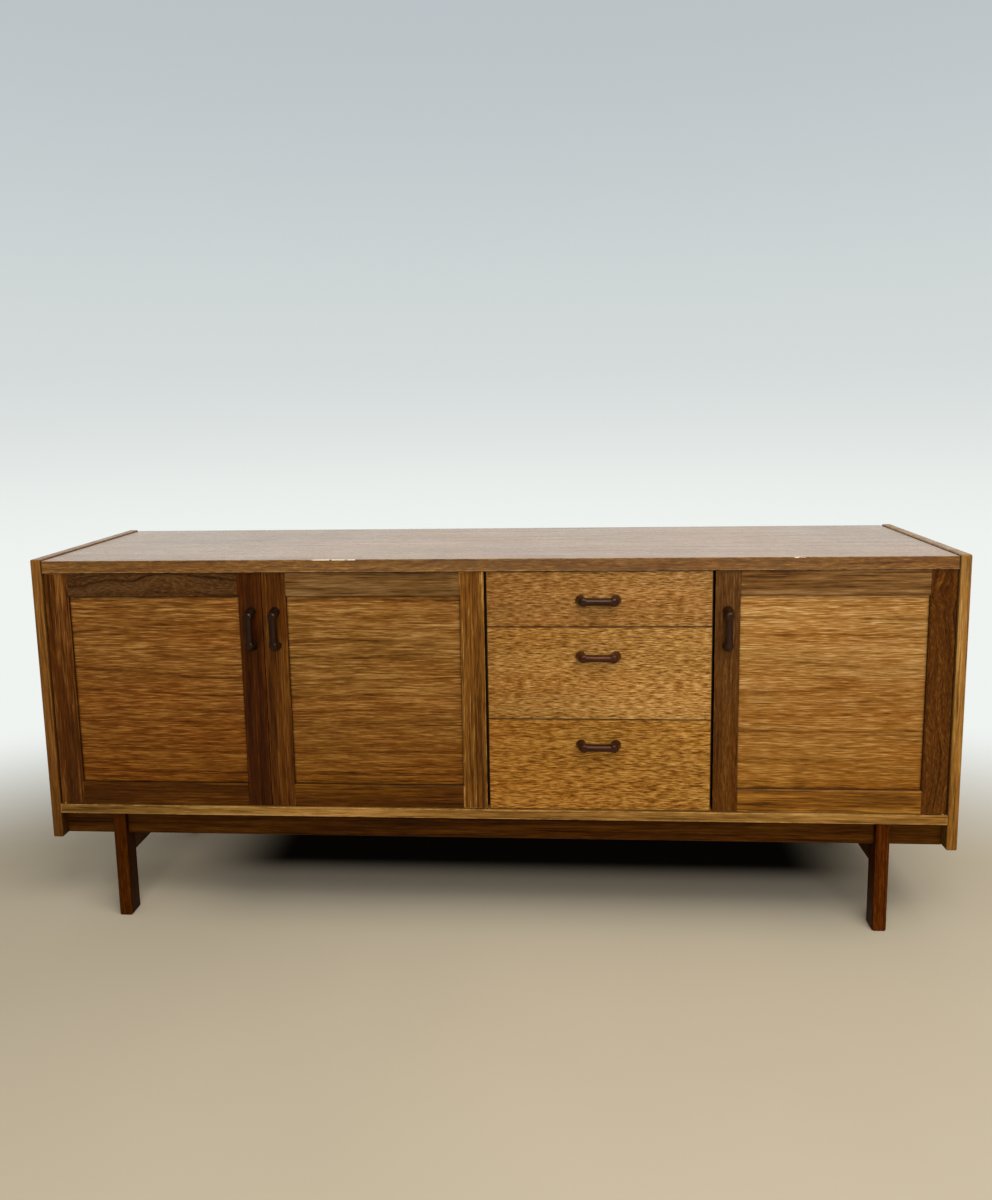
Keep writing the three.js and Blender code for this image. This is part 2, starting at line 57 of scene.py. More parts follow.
class Graph:
    """Builds a material's or a group's node tree with short calls."""

    def __init__(self, tree):
        self.tree = tree

    def node(self, kind, **settings):
        made = self.tree.nodes.new(kind)
        for key, value in settings.items():
            setattr(made, key, value)
        return made

    def feed(self, socket, value):
        if isinstance(value, bpy.types.NodeSocket):
            self.tree.links.new(value, socket)
        elif value is not None:
            socket.default_value = value

    def math(self, operation, a, b=None, clamp=False):
        made = self.node("ShaderNodeMath", operation=operation, use_clamp=clamp)
        self.feed(made.inputs[0], a)
        self.feed(made.inputs[1], b)
        return made.outputs[0]

    def vector(self, operation, a, b):
        made = self.node("ShaderNodeVectorMath", operation=operation)
        self.feed(made.inputs[0], a)
        self.feed(made.inputs[1], b)
        return made.outputs["Value" if operation == "LENGTH" else "Vector"]

    def combine(self, x, y, z):
        made = self.node("ShaderNodeCombineXYZ")
        for socket, value in zip(made.inputs, (x, y, z)):
            self.feed(socket, value)
        return made.outputs[0]

    def separate(self, vector):
        made = self.node("ShaderNodeSeparateXYZ")
        self.feed(made.inputs[0], vector)
        return made.outputs

    def noise(self, vector, detail=2.0, roughness=0.5, distortion=0.0):
        made = self.node("ShaderNodeTexNoise", noise_dimensions="3D")
        self.feed(made.inputs["Vector"], vector)
        self.feed(made.inputs["Scale"], 1.0)
        self.feed(made.inputs["Detail"], detail)
        self.feed(made.inputs["Roughness"], roughness)
        self.feed(made.inputs["Distortion"], distortion)
        return made.outputs["Fac"]

    def spread(self, value, low, high, to_low=0.0, to_high=1.0, smooth=True):
        """Maps low..high to to_low..to_high, held at the ends."""
        made = self.node("ShaderNodeMapRange", interpolation_type="SMOOTHSTEP" if smooth else "LINEAR")
        limits = {"From Min": low, "From Max": high, "To Min": to_low, "To Max": to_high}
        self.feed(made.inputs["Value"], value)
        for name, number in limits.items():
            self.feed(made.inputs[name], number)
        return made.outputs[0]

    def mix(self, factor, a, b, blend="MIX"):
        made = self.node("ShaderNodeMix", data_type="RGBA", blend_type=blend)
        self.feed(made.inputs["Factor"], factor)
        self.feed(made.inputs["A"], a)
        self.feed(made.inputs["B"], b)
        return made.outputs["Result"]


def new_material(name):
    material = bpy.data.materials.new(name)
    material.use_nodes = True
    graph = Graph(material.node_tree)
    shader = material.node_tree.nodes["Principled BSDF"]
    return material, graph, shader


def rgb(red, green, blue):
    return (red, green, blue, 1.0)


# ---------- camera, lights and floor ----------

CAMERA_PLACE = Vector((0.1551, -2.0628, 1.1000))
CAMERA_YAW = -0.07104  # to the left of +Y, in radians
CAMERA_PITCH = -0.13891
CAMERA_ROLL = -0.01746
CAMERA_LENS = 28.01  # millimetres on a 36 mm long side
CAMERA_SHIFT = -0.0552


def make_camera():
    data = bpy.data.cameras.new("camera")
    data.sensor_width = 36
    data.lens = CAMERA_LENS
    data.shift_y = CAMERA_SHIFT
    camera = bpy.data.objects.new("camera", data)
    bpy.context.scene.collection.objects.link(camera)
    forward = Vector(
        (
            math.sin(CAMERA_YAW) * math.cos(CAMERA_PITCH),
            math.cos(CAMERA_YAW) * math.cos(CAMERA_PITCH),
            math.sin(CAMERA_PITCH),
        )
    )
    level = Vector((math.cos(CAMERA_YAW), -math.sin(CAMERA_YAW), 0))
    upright = level.cross(forward)
    right = math.cos(CAMERA_ROLL) * level + math.sin(CAMERA_ROLL) * upright
    up = -math.sin(CAMERA_ROLL) * level + math.cos(CAMERA_ROLL) * upright
    turn = Matrix((right, up, -forward)).transposed()
    camera.matrix_world = Matrix.Translation(CAMERA_PLACE) @ turn.to_4x4()
    bpy.context.scene.camera = camera


def area_light(name, place, target, size, power, colour):
    data = bpy.data.lights.new(name, "AREA")
    data.shape = "RECTANGLE"
    data.size, data.size_y = size
    data.energy = power
    data.color = colour
    light = bpy.data.objects.new(name, data)
    light.location = place
    light.rotation_euler = (Vector(target) - Vector(place)).to_track_quat("-Z", "Y").to_euler()
    light.visible_camera = False
    bpy.context.scene.collection.objects.link(light)


def make_world():
    """A pale backdrop for the camera, a bright band behind for reflections, dim light for the rest."""
    world = bpy.data.worlds.new("studio")
    bpy.context.scene.world = world
    world.use_nodes = True
    g = Graph(world.node_tree)
    background = world.node_tree.nodes["Background"]
    _, back, up = g.separate(g.node("ShaderNodeTexCoord").outputs["Generated"])
    soft = g.mix(g.spread(up, -0.2, 0.9), rgb(0.2, 0.19, 0.17), rgb(0.42, 0.43, 0.44))
    bright = g.mix(g.spread(back, -0.3, 0.6), soft, rgb(1.12, 1.14, 1.1))
    wall = g.mix(g.spread(up, -0.16, 0.06), rgb(0.87, 0.9, 0.875), rgb(0.66, 0.705, 0.7))
    wall = g.mix(g.spread(up, 0.0, 0.4), wall, rgb(0.5, 0.54, 0.57))
    path = g.node("ShaderNodeLightPath").outputs
    light = g.mix(path["Is Glossy Ray"], soft, bright)
    g.feed(background.inputs["Color"], g.mix(path["Is Camera Ray"], light, wall))
    background.inputs["Strength"].default_value = 1.0


FLOOR_REACH = 7.0
FLOOR_FADES = (2.05, 3.2)  # metres from FLOOR_MIDDLE between which the floor fades out
FLOOR_MIDDLE = Vector((0.0, -1.7, 0.0))
SHADED_MIDDLE = 0.08  # x of the middle of the floor that the case darkens
SHADED_HALF = (0.6, 0.88)  # half its width, where the darkness starts to fade and where it ends
SHADED_BACK = (0.3, 0.55)  # the same toward the back, in y


def make_stage():
    """A plain pale floor that fades into the backdrop, and soft light from above and in front."""
    mesh = bpy.data.meshes.new("floor")
    far = FLOOR_REACH
    corners = [(-far, -far, 0), (far, -far, 0), (far, far, 0), (-far, far, 0)]
    mesh.from_pydata(corners, [], [(0, 1, 2, 3)])
    floor = bpy.data.objects.new("floor", mesh)
    bpy.context.scene.collection.objects.link(floor)
    paint, g, shader = new_material("pale_floor")
    place = g.node("ShaderNodeTexCoord").outputs["Object"]
    away = g.vector("LENGTH", g.vector("ADD", place, -FLOOR_MIDDLE), None)
    cloudy = g.noise(g.vector("MULTIPLY", place, (1.3, 1.3, 1.3)), 3.0)
    pale = g.mix(cloudy, rgb(0.49, 0.43, 0.315), rgb(0.575, 0.5, 0.375))
    # the floor is darker where the case has kept it from the light
    x, y, _ = g.separate(place)
    sideways = g.math("ABSOLUTE", g.math("SUBTRACT", x, SHADED_MIDDLE))
    inside = g.spread(sideways, *SHADED_HALF, 1.0, 0.0)
    under = g.math("MULTIPLY", inside, g.spread(y, *SHADED_BACK, 1.0, 0.0))
    dim = g.mix(g.spread(y, -0.28, -0.06), rgb(1, 1, 1), rgb(0.62, 0.64, 0.68))
    dim = g.mix(g.spread(y, -0.03, 0.07), dim, rgb(0.012, 0.011, 0.01))
    shaded = g.mix(under, rgb(1, 1, 1), dim)
    g.feed(shader.inputs["Base Color"], g.mix(1.0, pale, shaded, "MULTIPLY"))
    g.feed(shader.inputs["Alpha"], g.spread(away, *FLOOR_FADES, 1.0, 0.0))
    shader.inputs["Roughness"].default_value = 0.8
    shader.inputs["Specular IOR Level"].default_value = 0.0
    mesh.materials.append(paint)

    aim = (0.1, -0.2, 0.5)
    area_light("key", (0.9, -1.7, 2.9), aim, (2.4, 1.2), 56, (1.0, 0.96, 0.9))
    area_light("front", (0.7, -4.3, 2.1), aim, (3.4, 1.6), 108, (1.0, 0.97, 0.93))
    bpy.context.scene.view_settings.view_transform = "Standard"


# ---------- the timber group ----------

# Sockets of the timber group: name, kind, default value.
TIMBER_INPUTS = (
    ("Place", "NodeSocketVector", (0, 0, 0)),  # metres: x along the grain, y across the face
    ("Dark", "NodeSocketColor", rgb(0.06, 0.02, 0.004)),
    ("Base", "NodeSocketColor", rgb(0.2, 0.08, 0.02)),
    ("Light", "NodeSocketColor", rgb(0.35, 0.16, 0.05)),
    ("Streak", "NodeSocketFloat", 0.5),  # broad stripes along the grain
    ("Grain", "NodeSocketFloat", 0.5),  # short fine dashes, darker and lighter
    ("Grain Length", "NodeSocketFloat", 0.02),
    ("Line", "NodeSocketFloat", 0.3),  # thin dark lines
    ("Line Length", "NodeSocketFloat", 0.17),
    ("Ring", "NodeSocketFloat", 0.4),  # growth rings, curved into cathedrals near the pith
    ("Ring Gap", "NodeSocketFloat", 0.01),  # metres from ring to ring
    ("Pith", "NodeSocketVector", (0, 0.5, 0.05)),  # where the pith lies, in the same metres
    ("Taper", "NodeSocketFloat", 0.05),  # how fast the pith leaves the surface along the grain
    ("Fleck", "NodeSocketFloat", 0.3),  # bright flecks
    ("Red", "NodeSocketFloat", 0.5),  # patches of redder wood
    ("Wave", "NodeSocketFloat", 0.004),  # metres that the grain wanders across the face
)


def make_timber_group():
    group = bpy.data.node_groups.new("timber", "ShaderNodeTree")
    for name, kind, value in TIMBER_INPUTS:
        socket = group.interface.new_socket(name, in_out="INPUT", socket_type=kind)
        socket.default_value = value
    group.interface.new_socket("Color", in_out="OUTPUT", socket_type="NodeSocketColor")
    group.interface.new_socket("Rough", in_out="OUTPUT", socket_type="NodeSocketFloat")
    group.interface.new_socket("Height", in_out="OUTPUT", socket_type="NodeSocketFloat")
    g = Graph(group)
    given = g.node("NodeGroupInput").outputs
    place = given["Place"]

    def stretched(vector, along, across, shift=0.0):
        moved = g.vector("ADD", vector, (shift, 2 * shift, 3 * shift))
        return g.vector("MULTIPLY", moved, g.combine(along, across, across))

    def signed(value, gain):
        return g.math("MULTIPLY", g.math("SUBTRACT", value, 0.5), gain)

    # the grain wanders slowly across the face
    sway = signed(g.noise(stretched(place, 2.5, 5.0), 2.0), 6.0)
    sway = g.math("ADD", sway, signed(g.noise(stretched(place, 14.0, 18.0), 1.0), 0.9))
    x, y, z = g.separate(place)
    bent = g.combine(x, g.math("ADD", y, g.math("MULTIPLY", sway, given["Wave"])), z)

    # growth rings round a pith that slants through the board
    px, py, pz = g.separate(given["Pith"])
    bx, by, bz = g.separate(bent)
    across = g.math("SUBTRACT", by, py)
    slant = g.math("MULTIPLY", g.math("SUBTRACT", bx, px), given["Taper"])
    deep = g.math("ADD", g.math("SUBTRACT", bz, pz), slant)
    squares = g.math("ADD", g.math("MULTIPLY", across, across), g.math("MULTIPLY", deep, deep))
    turns = g.math("DIVIDE", g.math("SQRT", squares), given["Ring Gap"])
    ring = g.spread(g.noise(g.combine(turns, 0.0, 0.0), 1.5, 0.55), 0.47, 0.68)
    broken = g.spread(g.noise(stretched(bent, 8.0, 60.0, 1.7), 2.0), 0.3, 0.6, 0.45, 1.0)
    ring = g.math("MULTIPLY", ring, broken)

    # broad stripes, fine fibres, long lines, short dashes, bright flecks and pores
    streak = signed(g.noise(stretched(bent, 1.8, 36.0), 4.0, 0.76), 3.6)
    fibre = signed(g.noise(stretched(bent, 9.0, 520.0, 0.3), 2.0, 0.6), 1.0)
    per_line = g.math("DIVIDE", 1.0, given["Line Length"])
    line_at = g.vector("ADD", bent, (2.9, 5.8, 8.7))
    line = g.noise(g.vector("MULTIPLY", line_at, g.combine(per_line, 260.0, 260.0)), 2.0)
    line = g.spread(line, 0.53, 0.7)
    per_dash = g.math("DIVIDE", 1.0, given["Grain Length"])
    dash_at = g.vector("MULTIPLY", bent, g.combine(per_dash, 430.0, 430.0))
    dash = signed(g.noise(dash_at, 2.0, 0.65), 4.4)
    fleck_at = g.vector("ADD", bent, (3.1, 0.7, 1.3))
    fleck_at = g.vector("MULTIPLY", fleck_at, g.combine(per_dash, 400.0, 400.0))
    fleck = g.spread(g.noise(fleck_at, 1.0, 0.6), 0.54, 0.7)
    pore = g.spread(g.noise(stretched(bent, 120.0, 1700.0, 4.1), 1.0), 0.62, 0.74)

    tone = g.math("ADD", g.math("MULTIPLY", streak, g.math("MULTIPLY", given["Streak"], 0.5)), 0.5)
    tone = g.math("ADD", tone, g.math("MULTIPLY", fibre, 0.12))
    tone = g.math("ADD", tone, g.math("MULTIPLY", dash, g.math("MULTIPLY", given["Grain"], 0.5)))
    tone = g.math("SUBTRACT", tone, g.math("MULTIPLY", line, given["Line"]))
    tone = g.math("SUBTRACT", tone, g.math("MULTIPLY", ring, given["Ring"]))
    tone = g.math("ADD", tone, g.math("MULTIPLY", fleck, given["Fleck"]))
    tone = g.math("SUBTRACT", tone, g.math("MULTIPLY", pore, 0.08), clamp=True)
    redder = g.spread(g.noise(stretched(bent, 3.0, 16.0, 5.3), 2.0), 0.35, 0.65)
    redder = g.math("MULTIPLY", redder, given["Red"])
    base = g.mix(redder, given["Base"], g.mix(1.0, given["Base"], rgb(1.02, 0.84, 0.6), "MULTIPLY"))
    low = g.mix(g.spread(tone, 0.0, 0.5, smooth=False), given["Dark"], base)
    colour = g.mix(g.spread(tone, 0.5, 1.0, smooth=False), low, given["Light"])

    rough = g.math("ADD", g.math("MULTIPLY", tone, -0.12), g.math("MULTIPLY", pore, 0.25))
    height = g.math("SUBTRACT", g.math("MULTIPLY", tone, 0.8), pore)
    out = g.node("NodeGroupOutput")
    for name, value in (("Color", colour), ("Rough", rough), ("Height", height)):
        g.feed(out.inputs[name], value)
    return group


timber_group = make_timber_group()

# Which axes become x, y and z, so that x runs along the grain and y across the show face.
GRAIN_TURNS = {
    ("X", "Y"): ("X", "Z", "Y"),  # grain along X, seen from the front
    ("X", "Z"): ("X", "Y", "Z"),  # grain along X, seen from above
    ("Z", "Y"): ("Z", "X", "Y"),  # grain along Z, seen from the front
    ("Z", "X"): ("Z", "Y", "X"),  # grain along Z, seen from the side
    ("Y", "Z"): ("Y", "X", "Z"),  # grain along Y, seen from above
    ("Y", "X"): ("Y", "Z", "X"),  # grain along Y, seen from the side
}


def edge_distance(g, place, low, high):
    """Distance in metres from the nearest arris of the box between low and high."""
    gaps = []
    for value, least, most in zip(g.separate(place), low, high):
        from_low = g.math("SUBTRACT", value, least)
        gaps.append(g.math("MINIMUM", from_low, g.math("SUBTRACT", most, value)))
    smaller = g.math("MINIMUM", gaps[0], gaps[1])
    larger = g.math("MAXIMUM", gaps[0], gaps[1])
    return g.math("MAXIMUM", smaller, g.math("MINIMUM", larger, gaps[2]))


# What a board's finish may change.
FINISH = {
    "roughness": 0.4,
    "specular": 0.16,
    "tint": rgb(1.0, 0.68, 0.4),
    "bump": 0.22,
    "wear": 0.35,
    "fade": None,  # (axis, colour at its low end, colour at its high end): a colour ramp, on most boards painted light and shade
    "smudge": 0.06,  # how far the roughness wanders
    "lipping": None,  # tones of a strip along the front arris
    "shadow": None,  # (metres in from the edge, darkness) of painted shade along the board's edges, by a recess or a gap
    "face_shade": (),  # (axis, 0 for its low end or 1 for its high end, reach in metres, darkness) of painted shade on that face and a strip next to it, where it faces a gap or the shade under the case
    "chips": (),  # (middle, half length) in metres along X where the front arris is chipped
}


def timber(name, node, grain, tones, seed, finish, figure):
    """A wood material for the board that CAD node makes, with the grain and face axes in grain."""
    look = {**FINISH, **finish}
    figure = dict(figure)
    material, g, shader = new_material(name)
    low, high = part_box(node)
    place = g.node("ShaderNodeTexCoord").outputs["Object"]
    parts = dict(zip("XYZ", g.separate(place)))
    dice = random.Random(seed)
    offset = [dice.uniform(-20, 20) for _ in range(3)]
    middle = {axis: (low[i] + high[i]) / 2 for i, axis in enumerate("XYZ")}
    local = g.combine(*[g.math("SUBTRACT", parts[axis], middle[axis]) for axis in GRAIN_TURNS[grain]])

    def wood(colours, **changes):
        made = g.node("ShaderNodeGroup")
        made.node_tree = timber_group
        look_of = {**figure, **changes}
        pith = look_of.pop("pith", (0.0, 0.6, 0.08))
        g.feed(made.inputs["Place"], g.vector("ADD", local, offset))
        g.feed(made.inputs["Pith"], [p + o for p, o in zip(pith, offset)])
        for socket, value in zip(("Dark", "Base", "Light"), colours):
            g.feed(made.inputs[socket], rgb(*value))
        for key, value in look_of.items():
            g.feed(made.inputs[key.replace("_", " ").title()], value)
        return made

    main = wood(tones)
    colour = main.outputs["Color"]
    if look["lipping"]:
        strip = wood(look["lipping"], streak=0.5)
        edge = g.spread(parts["Y"], low[1] + 0.0025, low[1] + 0.0035)
        colour = g.mix(edge, strip.outputs["Color"], colour)

    # slow patches of lighter and darker wood, and a colour ramp from end to end, on most boards painted
    # light and shade
    patch = g.noise(g.vector("ADD", g.vector("MULTIPLY", place, (2.2, 2.2, 2.2)), offset), 2.0)
    shade = g.spread(patch, 0.25, 0.75, 0.9, 1.1)
    if look["fade"]:
        axis, at_low, at_high = look["fade"]
        i = "XYZ".index(axis)
        part = g.spread(parts[axis], low[i], high[i], smooth=False)
        colour = g.mix(1.0, colour, g.mix(part, rgb(*at_low), rgb(*at_high)), "MULTIPLY")
    away = edge_distance(g, place, low, high)
    # painted shade: darker within reach of the board's edges
    if look["shadow"]:
        reach, depth = look["shadow"]
        shade = g.math("MULTIPLY", shade, g.spread(away, reach * 0.45, reach, 1.0 - depth, 1.0))
    # painted shade on the chosen faces and a strip beside each
    for axis, end, reach, depth in look["face_shade"]:
        i = "XYZ".index(axis)
        face, outward = (high[i], 1) if end else (low[i], -1)
        ends = (face - outward * reach, face - outward * reach * 0.4)
        shade = g.math("MULTIPLY", shade, g.spread(parts[axis], *ends, 1.0, 1.0 - depth))
    colour = g.mix(1.0, colour, g.combine(shade, shade, shade), "MULTIPLY")

    # the arrises are rubbed lighter
    rub_at = g.vector("ADD", g.vector("MULTIPLY", place, (38.0, 38.0, 38.0)), offset)
    rub_noise = g.noise(rub_at, 3.0, 0.6)
    near = g.spread(away, 0.0002, 0.0022, 1.0, 0.0)
    rubbed = g.math("MULTIPLY", near, g.spread(rub_noise, 0.35, 0.7))
    rubbed = g.math("MULTIPLY", rubbed, look["wear"])
    colour = g.mix(rubbed, colour, rgb(*[min(1.0, 1.4 * c + 0.01) for c in tones[2]]))
    if look["chips"]:
        front = g.math("SUBTRACT", parts["Y"], low[1])
        front = g.math("MAXIMUM", front, g.math("SUBTRACT", high[2], parts["Z"]))
        for chip_middle, half in look["chips"]:
            along = g.math("ABSOLUTE", g.math("SUBTRACT", parts["X"], chip_middle))
            chip = g.spread(along, half * 0.8, half, 1.0, 0.0)
            chip = g.math("MULTIPLY", chip, g.spread(rub_noise, 0.4, 0.5))
            chip = g.math("MULTIPLY", chip, g.spread(front, 0.0012, 0.002, 1.0, 0.0))
            colour = g.mix(chip, colour, rgb(0.9, 0.74, 0.56))
    g.feed(shader.inputs["Base Color"], colour)

    smudge = g.noise(g.vector("ADD", g.vector("MULTIPLY", place, (9.0, 9.0, 9.0)), offset), 3.0)
    smudge = g.spread(smudge, 0.3, 0.7, -look["smudge"], look["smudge"])
    rough = g.math("ADD", main.outputs["Rough"], smudge)
    g.feed(shader.inputs["Roughness"], g.math("ADD", rough, look["roughness"], clamp=True))
    shader.inputs["Specular IOR Level"].default_value = look["specular"]
    shader.inputs["Specular Tint"].default_value = look["tint"]
    bump = g.node("ShaderNodeBump")
    bump.inputs["Strength"].default_value = look["bump"]
    bump.inputs["Distance"].default_value = 0.0006
    g.feed(bump.inputs["Height"], main.outputs["Height"])
    g.feed(shader.inputs["Normal"], bump.outputs["Normal"])
    return material


# ---------- softening of the CAD boards ----------


def soften(node, width):
    """Rounds a CAD board's arrises to width metres without touching its mesh."""
    obj = nodes[node]
    weld = obj.modifiers.new("weld", "WELD")
    weld.merge_threshold = 0.00001
    flat = obj.modifiers.new("flat", "DECIMATE")
    flat.decimate_type = "DISSOLVE"
    flat.angle_limit = math.radians(0.5)
    bevel = obj.modifiers.new("arris", "BEVEL")
    bevel.width = width
    bevel.segments = 3
    bevel.limit_method = "ANGLE"
    bevel.angle_limit = math.radians(28)
    bevel.use_clamp_overlap = True
    shade = obj.modifiers.new("shade", "WEIGHTED_NORMAL")
    shade.mode = "FACE_AREA"
    shade.weight = 50
    for polygon in obj.data.polygons:
        polygon.use_smooth = True


def dress(node, material):
    """Gives a CAD node its one material."""
    slots = nodes[node].data.materials
    slots.clear()
    slots.append(material)


# ---------- boards ----------


def tinted(tones, *gains):
    """The same tones, each channel multiplied by its gain."""
    return tuple(tuple(channel * gain for channel, gain in zip(tone, gains)) for tone in tones)


# Dark, base and light tones of each timber.
TOP = ((0.08, 0.035, 0.014), (0.21, 0.11, 0.052), (0.34, 0.2, 0.1))
LIPPING = ((0.034, 0.012, 0.0012), (0.13, 0.057, 0.009), (0.3, 0.15, 0.04))
EDGE = ((0.09, 0.035, 0.005), (0.24, 0.11, 0.02), (0.42, 0.22, 0.06))
SIDE = ((0.08, 0.026, 0.004), (0.2, 0.08, 0.014), (0.36, 0.17, 0.045))
INSIDE = ((0.08, 0.03, 0.008), (0.19, 0.085, 0.025), (0.32, 0.17, 0.06))
RED_PANEL = ((0.055, 0.014, 0.001), (0.19, 0.065, 0.009), (0.42, 0.19, 0.045))
MID_PANEL = ((0.06, 0.017, 0.001), (0.225, 0.086, 0.012), (0.46, 0.23, 0.055))
GOLD_PANEL = ((0.12, 0.036, 0.003), (0.37, 0.157, 0.024), (0.7, 0.39, 0.11))
GOLD_DRAWER = ((0.12, 0.038, 0.003), (0.36, 0.155, 0.024), (0.62, 0.33, 0.09))
BROWN_FRAME = ((0.024, 0.006, 0.0006), (0.075, 0.022, 0.002), (0.17, 0.066, 0.01))
DARK_FRAME = ((0.012, 0.0025, 0.0003), (0.04, 0.01, 0.001), (0.1, 0.03, 0.004))
GREY_RAIL = ((0.018, 0.007, 0.0015), (0.075, 0.03, 0.007), (0.16, 0.078, 0.024))
AMBER_FRAME = ((0.04, 0.011, 0.001), (0.125, 0.043, 0.005), (0.4, 0.19, 0.045))
GOLD_RAIL = ((0.05, 0.016, 0.002), (0.18, 0.072, 0.013), (0.36, 0.17, 0.045))
UNDER = ((0.016, 0.004, 0.0004), (0.05, 0.0145, 0.0014), (0.1, 0.036, 0.005))
LEG_BROWN = ((0.022, 0.0055, 0.0005), (0.056, 0.016, 0.0014), (0.11, 0.038, 0.005))
LEG_RED = ((0.03, 0.0075, 0.0006), (0.088, 0.024, 0.003), (0.18, 0.065, 0.012))
BEECH = ((0.3, 0.19, 0.1), (0.45, 0.31, 0.18), (0.56, 0.42, 0.27))
PLY = ((0.2, 0.12, 0.055), (0.33, 0.21, 0.11), (0.44, 0.3, 0.17))

# How strong each part of a timber's figure is: the timber group's sockets.
VENEER = dict(streak=0.4, grain=0.85, grain_length=0.042, line=0.12, ring=0.26, fleck=0.24)
VENEER.update(red=0.8, wave=0.0022)
DRAWER = dict(streak=0.34, grain=1.25, grain_length=0.019, line=0.2, line_length=0.03, ring=0.08)
DRAWER.update(fleck=0.1, red=0.6, wave=0.003)
CATHEDRAL_LEFT = dict(pith=(0.1, 0.09, 0.03), taper=0.09, ring_gap=0.012)
CATHEDRAL_MIDDLE = dict(pith=(-0.12, 0.09, 0.0), taper=0.1, ring_gap=0.012, ring=0.27)
CATHEDRAL_RIGHT = dict(pith=(-0.19, 0.02, 0.0), taper=0.1, ring_gap=0.012, ring=0.27)
STRIPES = dict(streak=1.3, grain=0.5, grain_length=0.04, line=0.4, ring=0.2, fleck=0.12)
STRIPES.update(red=0.6, wave=0.0015)
CALM = {**STRIPES, "streak": 0.75}
PLAIN = dict(streak=0.5, grain=0.6, grain_length=0.02, line=0.25, ring=0.15, fleck=0.05)
PLAIN.update(red=0.6, wave=0.003)
FIGURED = dict(streak=0.5, grain=0.7, grain_length=0.012, line=0.2, ring=0.45, fleck=0.1)
FIGURED.update(red=0.5, wave=0.02)
VENEER_LEFT = {**VENEER, **CATHEDRAL_LEFT}
VENEER_MIDDLE = {**VENEER, **CATHEDRAL_MIDDLE}
VENEER_RIGHT = {**VENEER, **CATHEDRAL_RIGHT}

# The axis that the grain runs along and the axis that the show face looks along.
ALONG_X, ALONG_X_FLAT = ("X", "Y"), ("X", "Z")
UP, UP_SIDEWAYS = ("Z", "Y"), ("Z", "X")
BACKWARD = ("Y", "X")

# Finishes: what differs from FINISH.
POLISHED = {"smudge": 0.015, "roughness": 0.33, "specular": 0.5, "tint": rgb(1, 0.95, 0.9), "wear": 0.5}
POLISHED.update(lipping=LIPPING, chips=((-0.303, 0.055), (0.622, 0.012)))
POLISHED["fade"] = ("X", (1.14, 1.11, 1.02), (1.05, 1.0, 0.93))
# painted shade at the top's two ends, in the grooves beside the side panels
POLISHED["face_shade"] = (("X", 0, 0.004, 0.85), ("X", 1, 0.004, 0.85))
# painted shade on the faces of stiles and rails that look into the gaps, and a thin strip beside them
GAP = (("X", 0, 0.0006, 0.7), ("X", 1, 0.0006, 0.7))
FRAME = {"face_shade": GAP}
RAIL = {"face_shade": (("Z", 0, 0.0009, 0.7), ("Z", 1, 0.0009, 0.7))}
# partitions: painted shade over their front 2 cm, which look into the gaps between the fronts
FRONT_SHADE = {"face_shade": (("Y", 0, 0.02, 0.9),)}
# front legs: painted shade on the inner face of each, toward the middle
LEG_LEFT = {"specular": 0.03, "face_shade": (("X", 1, 0.0016, 0.55),)}
LEG_RIGHT = {"specular": 0.03, "face_shade": (("X", 0, 0.0016, 0.55),)}
MATT = {"roughness": 0.55}
DULL = {"specular": 0.08}
# painted sheen, lighter and much bluer toward the top, and painted shade on the faces in the gaps
TOP_SHEEN = {"face_shade": GAP, "fade": ("Z", (0.95, 0.9, 0.8), (1.0, 1.2, 3.0))}
# door panels: painted shade along the recess by the frame, and painted light and sheen, lighter and bluer
# toward the top
RECESS_SHADE_LIT_TOP = {"shadow": (0.0125, 0.55), "fade": ("Z", (0.68, 0.61, 0.38), (1.05, 1.25, 1.9))}
# side panels: painted light, much lighter toward the top, and painted shade on the inner face beside the
# doors
SIDE_LEFT = {"fade": ("Z", (0.44, 0.38, 0.26), (1.45, 1.5, 1.75)), "face_shade": (("X", 1, 0.0016, 0.45),)}
SIDE_RIGHT = {"fade": ("Z", (1.1, 1.1, 0.8), (1.28, 1.5, 2.0)), "face_shade": (("X", 0, 0.0016, 0.45),)}
# bottom board's front: arrises rubbed lighter, and painted light, lighter toward the right
RUBBED_LIT_RIGHT = {"wear": 0.6, "fade": ("X", (0.8,) * 3, (1.07,) * 3)}
ROUGH_PLY = {"roughness": 0.65, "wear": 0.1}
# drawer fronts: painted shade along the edges and on the faces in the gaps, and painted sheen, lighter and
# bluer toward the right
SHADED_EDGES_LIT_RIGHT = {"wear": 0.1, "shadow": (0.002, 0.6), "face_shade": GAP}
SHADED_EDGES_LIT_RIGHT["fade"] = ("X", (0.8, 0.78, 0.74), (0.96, 1.02, 1.16))

